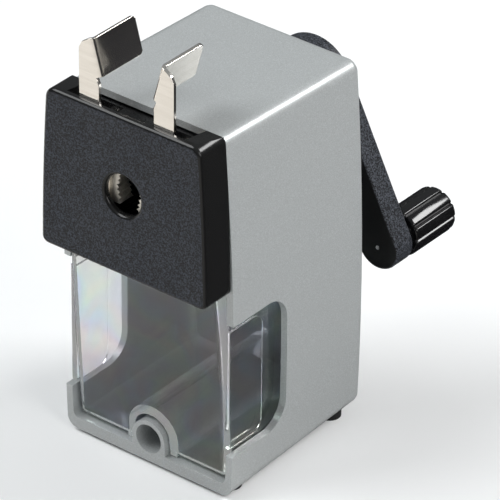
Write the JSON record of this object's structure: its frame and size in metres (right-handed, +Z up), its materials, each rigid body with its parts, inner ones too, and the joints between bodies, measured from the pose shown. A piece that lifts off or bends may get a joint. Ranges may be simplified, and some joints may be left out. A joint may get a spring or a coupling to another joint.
{
  "type": "pencil sharpener",
  "caption": "Desk pencil sharpener with a rear crank, geared helical cutter, sprung pencil carriage with pinch jaws, and a clear shavings drawer.",
  "frame": {"origin": "middle of the base pad's underside, on the table", "axes": "+X to the right seen from the front, +Y to the crank side, +Z up"},
  "size_m": [0.0687, 0.1104, 0.1424],
  "materials": {
    "housing_grey": "satin moulded, fine grain",
    "cover_black": "grained",
    "works_black": "moulded",
    "arm_black": "grained",
    "knob_black": "gloss",
    "drawer_clear": "clear",
    "plate_black": "blackened sheet steel",
    "nickel_sheet": "nickel plated",
    "jaw_steel": "hardened",
    "bright_steel": "zinc plated",
    "spring_steel": "drawn wire",
    "gear_zinc": "die cast zinc",
    "cutter_steel": "ground tool steel",
    "pad_rubber": "matte"
  },
  "bodies": {
    "stand": {"housing": "housing_grey", "base_pad": "pad_rubber", "front_bulkhead": "works_black", "ring_gear": "gear_zinc", "ring_gear_screws": "bright_steel", "bulkhead_screws": "bright_steel", "rear_bearing": "works_black", "bearing_screws": "bright_steel", "return_spring_left": "spring_steel", "return_spring_right": "spring_steel"},
    "drawer": {"drawer": "drawer_clear"},
    "carriage": {"front_cover": "cover_black", "carriage_plate": "plate_black", "cover_screws": "bright_steel", "guide_rod_left": "bright_steel", "guide_rod_right": "bright_steel", "rod_clip_left": "bright_steel", "rod_clip_right": "bright_steel", "pivot_pin_left": "bright_steel", "pivot_pin_right": "bright_steel", "jaw_spring": "spring_steel"},
    "lever_left": {"lever_left": "nickel_sheet", "jaw_left": "jaw_steel", "jaw_rivets_left": "bright_steel"},
    "lever_right": {"lever_right": "nickel_sheet", "jaw_right": "jaw_steel", "jaw_rivets_right": "bright_steel"},
    "crank": {"cutter_carrier": "gear_zinc", "cutter_axle": "bright_steel", "crank_shaft": "bright_steel", "shaft_clip": "bright_steel", "thrust_washer": "bright_steel", "crank_screw": "bright_steel", "crank_arm": "arm_black", "knob_spindle": "bright_steel"},
    "cutter": {"helical_cutter": "cutter_steel", "cutter_pinion": "cutter_steel"},
    "knob": {"crank_knob": "knob_black"}
  },
  "joints": [
    {"name": "crank_spin", "type": "hinge", "parent": "stand", "child": "crank", "pos_m": [0, 0.03, 0.097], "axis": [0, 1, 0], "continuous": true},
    {"name": "cutter_spin", "type": "hinge", "parent": "crank", "child": "cutter", "pos_m": [0, 0.04896, 0.097], "axis": [0, 0.9877, -0.1564], "continuous": true},
    {"name": "knob_spin", "type": "hinge", "parent": "crank", "child": "knob", "pos_m": [0.02975, 0.058, 0.05289], "axis": [0, 1, 0], "continuous": true},
    {"name": "drawer_slide", "type": "slide", "parent": "stand", "child": "drawer", "axis": [0, -1, 0], "range_m": [0, 0.05]},
    {"name": "carriage_slide", "type": "slide", "parent": "stand", "child": "carriage", "axis": [0, -1, 0], "range_m": [0, 0.034], "stiffness_N_per_m": 250, "springref_m": -0.008, "deforming": ["return_spring_left", "return_spring_right"]},
    {"name": "lever_right_hinge", "type": "hinge", "parent": "carriage", "child": "lever_right", "pos_m": [0.0135, -0.0395, 0.112], "axis": [0, -1, 0], "range_deg": [0, 20], "stiffness_Nm_per_rad": 0.1, "springref_deg": -17.19, "deforming": ["jaw_spring"]},
    {"name": "lever_left_hinge", "type": "hinge", "parent": "carriage", "child": "lever_left", "pos_m": [-0.0135, -0.0395, 0.112], "axis": [0, 1, 0], "range_deg": [0, 20], "stiffness_Nm_per_rad": 0.1, "springref_deg": -17.19}
  ],
  "couplings": [
    {"joint": "cutter_spin", "follows": "crank_spin", "ratio": -4},
    {"joint": "lever_left_hinge", "follows": "lever_right_hinge", "ratio": 1}
  ]
}
